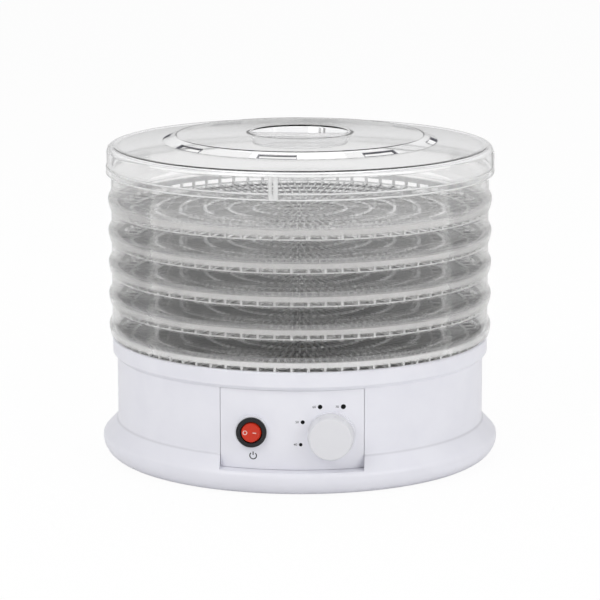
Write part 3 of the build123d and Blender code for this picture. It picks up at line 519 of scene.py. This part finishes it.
# Lid: a turned shell with vents in the slope round its raised disc, a grip bar across its recess, and ribs on its side
# Its outline is in (radius, height, rounding) corners, with heights from the table
LID_BORE = 159.0
LID_OUT = 160.8
LID_BAND_OUT = 161.4
LID_BOTTOM = 238.5
LID_BORE_BOTTOM = 239.2
LID_SHOULDER = 256.0
CREST = (155.5, 261.5)
CREST_BORE = (155.5, 259.5)
RIM_EDGE = (151.5, 260.9)
RIM_EDGE_BORE = (151.5, 258.9)
DISC_FOOT = (114.3, 264.6)
DISC_EDGE = (103.5, 269.3)
VENT_OUT = 113.9
VENT_IN = 108.6
VENTS = 8
VENT_SPAN = 16          # degrees, which are also steps round the lid
VENT_START = 255
VENT_LIP = 0.7
LID_SIDE = rounded([
    (LID_BORE, LID_BOTTOM, 0.7), (LID_BAND_OUT, LID_BOTTOM, 0.7), (LID_BAND_OUT, 243.6, 0.5), (LID_OUT, 244.2, 0.3),
    (LID_OUT, LID_SHOULDER, 0.0),
])
LID_CREST = arc((LID_OUT, LID_SHOULDER), CREST)
LID_CREST_BORE = arc((LID_BORE, LID_SHOULDER), CREST_BORE)
LID_RIM = rounded([(*CREST, 0.0), (*RIM_EDGE, 0.8), (*DISC_FOOT, 0.2), (VENT_OUT, 264.77, 0.0)])
LID_DISC = rounded([
    (VENT_IN, 267.08, 0.0), (*DISC_EDGE, 1.0), (42.0, 271.3, 1.2), (38.0, 262.3, 1.0), (0.0, 262.3, 0.0),
    (0.0, 260.3, 0.0), (40.0, 260.3, 1.0), (44.0, 269.3, 1.2), (102.5, 267.3, 1.0), (107.2, 265.29, 0.0),
])
LID_RIM_BORE = rounded([(113.1, 262.77, 0.0), (113.5, 262.6, 0.2), (*RIM_EDGE_BORE, 0.8), (*CREST_BORE, 0.0)])
LID_SEAT = rounded([
    (158.9, 244.75, 0.0), (152.3, 244.75, 0.6), (152.3, 238.5, 0.5), (154.5, 238.5, 0.5), (154.5, 242.75, 0.0),
    (158.9, 242.75, 0.0),
])
LID_LINES = (
    rounded([(160.4, 243.2, 0.2), (161.55, 243.2, 0.3), (161.55, 244.4, 0.3), (160.4, 244.4, 0.2)]),
    rounded([(158.9, 238.4, 0.2), (161.55, 238.4, 0.4), (161.55, 239.6, 0.3), (158.9, 239.6, 0.2)]),
)
RIM_FALL = (DISC_FOOT[1] - RIM_EDGE[1]) / (RIM_EDGE[0] - DISC_FOOT[0])
RISER_FALL = (DISC_EDGE[1] - DISC_FOOT[1]) / (DISC_FOOT[0] - DISC_EDGE[0])
SOFT_STEPS = 3
GRIP_HALF = (40.5, 7.5)
GRIP_HEIGHTS = (266.3, 269.3)
GRIP_SOFT = 0.8
KEYS = 4
KEY_START = -95.0
KEY_BACK = 160.3
KEY_SOFT = 0.5
KEY_POSTS = ((-2.4, 2.0), (2.0, 2.8))       # place and width of each post
KEY_POST_OUT = 161.8
KEY_POST_HEIGHTS = (240.0, 257.0)
KEY_FOOT_HALF = 3.4
KEY_FOOT_OUT = 161.9
KEY_FOOT_HEIGHTS = (239.2, 242.6)


def lid_shell(grid):
    """The shell, with the vents cut through its slope: their sides get the second material."""
    outside = LID_SIDE[1:-1] + LID_CREST + LID_RIM[1:]
    bore = LID_CREST_BORE[-2::-1] + [Vector((LID_BORE, LID_BORE_BOTTOM))]
    edge = len(outside) - 1
    under = edge + len(LID_DISC)
    rings = ring_of(grid, outside + LID_DISC + LID_RIM_BORE + bore, 0.0, LID_ROUND)
    doomed = []
    sides = []
    for vent in range(VENTS):
        first = VENT_START + vent * LID_ROUND // VENTS
        span = [rings[(first + step) % LID_ROUND] for step in range(VENT_SPAN + 1)]
        for here, there in zip(span, span[1:]):
            for corner in (edge, under):
                face = (here[corner], there[corner], there[corner + 1], here[corner + 1])
                doomed.append(grid.faces.get(face))
            sides.append(grid.faces.new((here[edge], there[edge], there[under + 1], here[under + 1])))
            sides.append(grid.faces.new((here[edge + 1], there[edge + 1], there[under], here[under])))
        for end in (span[0], span[-1]):
            sides.append(grid.faces.new((end[edge], end[edge + 1], end[under], end[under + 1])))
    for side in sides:
        side.material_index = 1
    bmesh.ops.delete(grid, geom=doomed, context="FACES_ONLY")


def on_lid(turn, radius):
    """A place on the slope round the lid's disc or on the rim below it, a little proud of them."""
    out = radius - DISC_FOOT[0]
    height = DISC_FOOT[1] - out * (RIM_FALL if out > 0 else RISER_FALL) + PRINT_PROUD
    return Vector((radius * math.cos(turn), radius * math.sin(turn), height)) * MM


def vent_frames(grid):
    """The lips round the vents: an inner and an outer line joined into a band."""
    for vent in range(VENTS):
        start = math.radians(VENT_START + vent * 360 / VENTS)
        span = math.radians(VENT_SPAN)
        lines = []
        for lip in (0.0, VENT_LIP):
            side = lip / VENT_OUT
            turns = [start - side + (span + 2 * side) * step / VENT_SPAN for step in range(VENT_SPAN + 1)]
            places = [on_lid(turn, VENT_OUT + lip) for turn in turns]
            places += [on_lid(turn, VENT_IN - lip / 2) for turn in reversed(turns)]
            lines.append([grid.verts.new(place) for place in places])
        for i in range(len(lines[0])):
            k = (i + 1) % len(lines[0])
            grid.faces.new((lines[0][i], lines[0][k], lines[1][k], lines[1][i]))


def soft_box(grid, low, high, turn, soften):
    """A box with softened edges between two corners in mm, turned about the axis."""
    made = bmesh.ops.create_cube(grid, size=1.0)["verts"]
    for vert in made:
        x, y, z = (low[i] + (high[i] - low[i]) * (vert.co[i] + 0.5) for i in range(3))
        along = x * math.cos(turn) - y * math.sin(turn)
        across = x * math.sin(turn) + y * math.cos(turn)
        vert.co = Vector((along, across, z)) * MM
    edges = list({edge for vert in made for edge in vert.link_edges})
    bmesh.ops.bevel(grid, geom=edges, offset=soften * MM, segments=SOFT_STEPS, affect="EDGES", profile=0.5)


def lid_grip(grid):
    """The bar across the recess."""
    x, y = GRIP_HALF
    low, high = GRIP_HEIGHTS
    soft_box(grid, (-x, -y, low), (x, y, high), 0.0, GRIP_SOFT)


def lid_ribs(grid):
    """The upright ribs on the lid's side: two posts and a foot each."""
    for key in range(KEYS):
        turn = math.radians(KEY_START + 360 / KEYS * key)
        low, high = KEY_POST_HEIGHTS
        for side, wide in KEY_POSTS:
            corners = (KEY_BACK, side - wide / 2, low), (KEY_POST_OUT, side + wide / 2, high)
            soft_box(grid, *corners, turn, KEY_SOFT)
        low, high = KEY_FOOT_HEIGHTS
        soft_box(grid, (KEY_BACK, -KEY_FOOT_HALF, low), (KEY_FOOT_OUT, KEY_FOOT_HALF, high), turn, KEY_SOFT)


def lid_lines(grid):
    """The two edges of the band along the lid's foot."""
    for line in LID_LINES:
        ring_of(grid, line, 0.0)


shell = piece("lid_shell", lid_shell, clear_lid, "lid", SHARP_LID)
# The vents' sides get the dark material, a painted shade
shell.data.materials.append(painted_vent_shade)
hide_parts("lid")
piece("lid_seat", turned(LID_SEAT, 0.0), clear_inner, "lid")
# The lines at the lid's foot are near white, as painted highlights
piece("lid_lines", lid_lines, painted_edge_highlight, "lid")
# The lips round the vents are dark, as painted shade
piece("lid_vents", vent_frames, painted_vent_shade, "lid")
piece("lid_grip", lid_grip, clear_lid, "lid", SHARP_BOXES)
# The ribs on the lid's side are near white, as painted highlights
piece("lid_ribs", lid_ribs, painted_edge_highlight, "lid", SHARP_BOXES)


# Print on the panel, marks on the rocker and pips on the dial; places on the panel are (across, up)
PANEL_RADIUS = 153.0
DIAL = (31.2, 48.2)
KNOB_RADIUS = 18.6
KNOB_BACK = 153.9
KNOB_DEPTH = 11.6
KNOB_TAPER = math.radians(8.0)
KNOB_PIPS = (118, 78, 55)
KNOB_PIP_RADIUS = 0.9
SCALE = ("40", "50", "60", "70")
SCALE_RADIUS = 25.0
SCALE_START = math.radians(196.6)
SCALE_STEP = math.radians(43.2)
DOT_RADIUS = 1.4        # of the first dot of the scale
DOT_GROWTH = 0.2
FIGURE_STAND = 2.9
FIGURE_HEIGHT = 1.9
CAP_SHARE = 0.7         # of a figure's height in the size of its type
POWER_SIGN = (-30.9, 31.0)
POWER_RADIUS = 2.7
POWER_STROKE = 0.8
POWER_START = math.radians(130)
POWER_END = math.radians(410)
POWER_BAR_RISE = 1.9
POWER_BAR = 2.8
ROCKER_PIVOT = (-32.1, -152.1, 51.0)
ROCKER_TILT = math.radians(9.0)
ROCKER_FACE = 3.6
OFF_PLACE = -4.3
OFF_RADIUS = 1.5
OFF_STROKE = 0.55
ON_PLACE = 3.4
ON_SIZE = (3.0, 0.7)


def on_panel(x, z):
    """A place on the curved face of the panel, in mm across and up, a little proud of it."""
    reach = PANEL_RADIUS + PRINT_PROUD
    return Vector((x, -math.sqrt(reach * reach - x * x), z)) * MM


def on_rocker(across, up):
    """A place on one of the rocker's two facets, in mm from its middle, a little proud of it."""
    side = Vector((math.cos(ROCKER_TILT), -math.sin(ROCKER_TILT), 0))
    out = Vector((-math.sin(ROCKER_TILT), -math.cos(ROCKER_TILT), 0))
    rise = ROCKER_FACE + abs(across) * math.sin(ROCKER_TILT) + PRINT_PROUD
    return (Vector(ROCKER_PIVOT) + side * across + out * rise + Vector((0, 0, up))) * MM


def on_knob(turn):
    """Places round a point halfway along the side of the dial, in mm across and out."""
    def place(across, out):
        along = KNOB_DEPTH / 2 + out
        reach = KNOB_RADIUS - along * math.tan(KNOB_TAPER) + PRINT_PROUD
        angle = turn - across / reach
        x = DIAL[0] + reach * math.cos(angle)
        z = DIAL[1] + reach * math.sin(angle)
        return Vector((x, -KNOB_BACK - along, z)) * MM
    return place


def dot(grid, place, x, z, radius):
    """A round printed spot."""
    middle = grid.verts.new(place(x, z))
    turns = [2 * math.pi * step / SPOT_STEPS for step in range(SPOT_STEPS)]
    rim = [grid.verts.new(place(x + radius * math.cos(turn), z + radius * math.sin(turn))) for turn in turns]
    for step in range(SPOT_STEPS):
        grid.faces.new((middle, rim[step], rim[(step + 1) % SPOT_STEPS]))


def bow(grid, place, x, z, radius, wide, start, end):
    """A printed stroke round part of a circle."""
    rails = []
    for step in range(SPOT_STEPS + 1):
        turn = start + (end - start) * step / SPOT_STEPS
        rails.append([
            grid.verts.new(place(x + reach * math.cos(turn), z + reach * math.sin(turn)))
            for reach in (radius - wide / 2, radius + wide / 2)
        ])
    for here, there in zip(rails, rails[1:]):
        grid.faces.new((here[0], here[1], there[1], there[0]))


def block(grid, place, x, z, wide, high):
    """A printed upright bar or dash."""
    places = ((-wide, -high), (wide, -high), (wide, high), (-wide, high))
    grid.faces.new([grid.verts.new(place(x + dx / 2, z + dz / 2)) for dx, dz in places])


def figures(grid, place, words, x, z, height):
    """Plain numbers, centred on a place."""
    text = bpy.data.curves.new("figures", "FONT")
    text.body = words
    text.size = height / CAP_SHARE
    text.align_x = "CENTER"
    text.align_y = "CENTER"
    holder = bpy.data.objects.new("figures", text)
    flat = bpy.data.meshes.new_from_object(holder)
    made = [grid.verts.new(place(x + v.co.x, z + v.co.y)) for v in flat.vertices]
    for face in flat.polygons:
        grid.faces.new([made[i] for i in face.vertices])
    bpy.data.objects.remove(holder)
    bpy.data.curves.remove(text)
    bpy.data.meshes.remove(flat)


def scale_marks(grid):
    """The dots round the dial, each larger than the last, with their numbers."""
    for step, words in enumerate(SCALE):
        turn = SCALE_START - step * SCALE_STEP
        radius = DOT_RADIUS + DOT_GROWTH * step
        x = DIAL[0] + SCALE_RADIUS * math.cos(turn)
        z = DIAL[1] + SCALE_RADIUS * math.sin(turn)
        dot(grid, on_panel, x, z, radius)
        figures(grid, on_panel, words, x - radius - FIGURE_STAND, z, FIGURE_HEIGHT)


def power_sign(grid):
    """The common sign below the switch: an open ring and a bar."""
    x, z = POWER_SIGN
    bow(grid, on_panel, x, z, POWER_RADIUS, POWER_STROKE, POWER_START, POWER_END)
    block(grid, on_panel, x, z + POWER_BAR_RISE, POWER_STROKE, POWER_BAR)


def rocker_marks(grid):
    """A ring for off and a line for on."""
    bow(grid, on_rocker, OFF_PLACE, 0.0, OFF_RADIUS, OFF_STROKE, 0.0, 2 * math.pi)
    block(grid, on_rocker, ON_PLACE, 0.0, *ON_SIZE)


def knob_pips(grid):
    """Small spots on the side of the dial."""
    for turn in KNOB_PIPS:
        dot(grid, on_knob(math.radians(turn)), 0.0, 0.0, KNOB_PIP_RADIUS)


piece("scale_marks", scale_marks, ink, "base")
piece("power_sign", power_sign, ink, "base")
piece("rocker_marks", rocker_marks, pale_ink, "rocker")
piece("knob_pips", knob_pips, knob_mark, "dial")


# Camera, lights, world and floor, in metres
CAMERA_TURN = math.radians(2.5)
CAMERA_REACH = 2.445
CAMERA_HEIGHT = 0.6075
CAMERA_AIM = 0.1284
LENS = 177.8
SENSOR = 36.0
CLIP_END = 50.0
LAMP_AIM = (0, 0, 0.12)
WORLD_LIGHT = 0.55      # what the world lends to the light, against the white that is seen
WORLD_SEEN = 1.0
FLOOR_HALF = 6
FLOOR_WHITE = (0.9, 0.9, 0.9, 1)
FLOOR_ROUGH = 0.9
FLOOR_GLOW = 0.95       # share of the seen floor that is plain white; the rest holds the shadow
WHITE_LIGHT = (1, 1, 1, 1)

scene = bpy.context.scene
scene.view_settings.view_transform = "Standard"
lens = bpy.data.cameras.new("camera")
lens.sensor_width = SENSOR
lens.lens = LENS
lens.clip_end = CLIP_END
camera = bpy.data.objects.new("camera", lens)
scene.collection.objects.link(camera)
camera.location = (
    CAMERA_REACH * math.sin(CAMERA_TURN), -CAMERA_REACH * math.cos(CAMERA_TURN), CAMERA_HEIGHT,
)
aim = Vector((0, 0, CAMERA_AIM)) - camera.location
camera.rotation_euler = aim.to_track_quat("-Z", "Y").to_euler()
scene.camera = camera


def softbox(name, place, size, power):
    """A square area lamp that faces the part."""
    lamp = bpy.data.lights.new(name, "AREA")
    lamp.shape = "SQUARE"
    lamp.size = size
    lamp.energy = power
    made = bpy.data.objects.new(name, lamp)
    scene.collection.objects.link(made)
    made.location = place
    made.rotation_euler = (Vector(LAMP_AIM) - Vector(place)).to_track_quat("-Z", "Y").to_euler()


def seen_rays(tree):
    """1 for rays from the camera and rays through clear plastic, 0 for the rest."""
    path = tree.nodes.new("ShaderNodeLightPath")
    seen = tree.nodes.new("ShaderNodeMath")
    seen.operation = "MAXIMUM"
    tree.links.new(path.outputs["Is Camera Ray"], seen.inputs[0])
    tree.links.new(path.outputs["Is Transmission Ray"], seen.inputs[1])
    return seen.outputs[0]


softbox("key", (-1.3, -1.6, 1.9), 1.4, 22)
softbox("fill", (1.8, -1.3, 1.0), 1.4, 14)
softbox("top", (0.0, 0.5, 2.2), 1.6, 14)

world = bpy.data.worlds.new("studio")
world.use_nodes = True
scene.world = world
sky = world.node_tree
sky.nodes.clear()
light = sky.nodes.new("ShaderNodeBackground")
light.inputs["Color"].default_value = WHITE_LIGHT
sky.links.new(spread(sky, seen_rays(sky), WORLD_LIGHT, WORLD_SEEN), light.inputs["Strength"])
out = sky.nodes.new("ShaderNodeOutputWorld")
sky.links.new(light.outputs["Background"], out.inputs["Surface"])

corners = [(-FLOOR_HALF, -FLOOR_HALF, 0), (FLOOR_HALF, -FLOOR_HALF, 0), (FLOOR_HALF, FLOOR_HALF, 0),
           (-FLOOR_HALF, FLOOR_HALF, 0)]
floor_mesh = bpy.data.meshes.new("floor")
floor_mesh.from_pydata(corners, [], [(0, 1, 2, 3)])
floor = bpy.data.objects.new("floor", floor_mesh)
scene.collection.objects.link(floor)
floor_look, tree, shader = new_material("floor")
shader.inputs["Base Color"].default_value = FLOOR_WHITE
shader.inputs["Roughness"].default_value = FLOOR_ROUGH
glow = tree.nodes.new("ShaderNodeEmission")
glow.inputs["Color"].default_value = WHITE_LIGHT
mixed = tree.nodes.new("ShaderNodeMixShader")
tree.links.new(spread(tree, seen_rays(tree), 0.0, FLOOR_GLOW), mixed.inputs["Fac"])
tree.links.new(shader.outputs["BSDF"], mixed.inputs[1])
tree.links.new(glow.outputs["Emission"], mixed.inputs[2])
tree.links.new(mixed.outputs["Shader"], tree.nodes["Material Output"].inputs["Surface"])
floor_mesh.materials.append(floor_look)
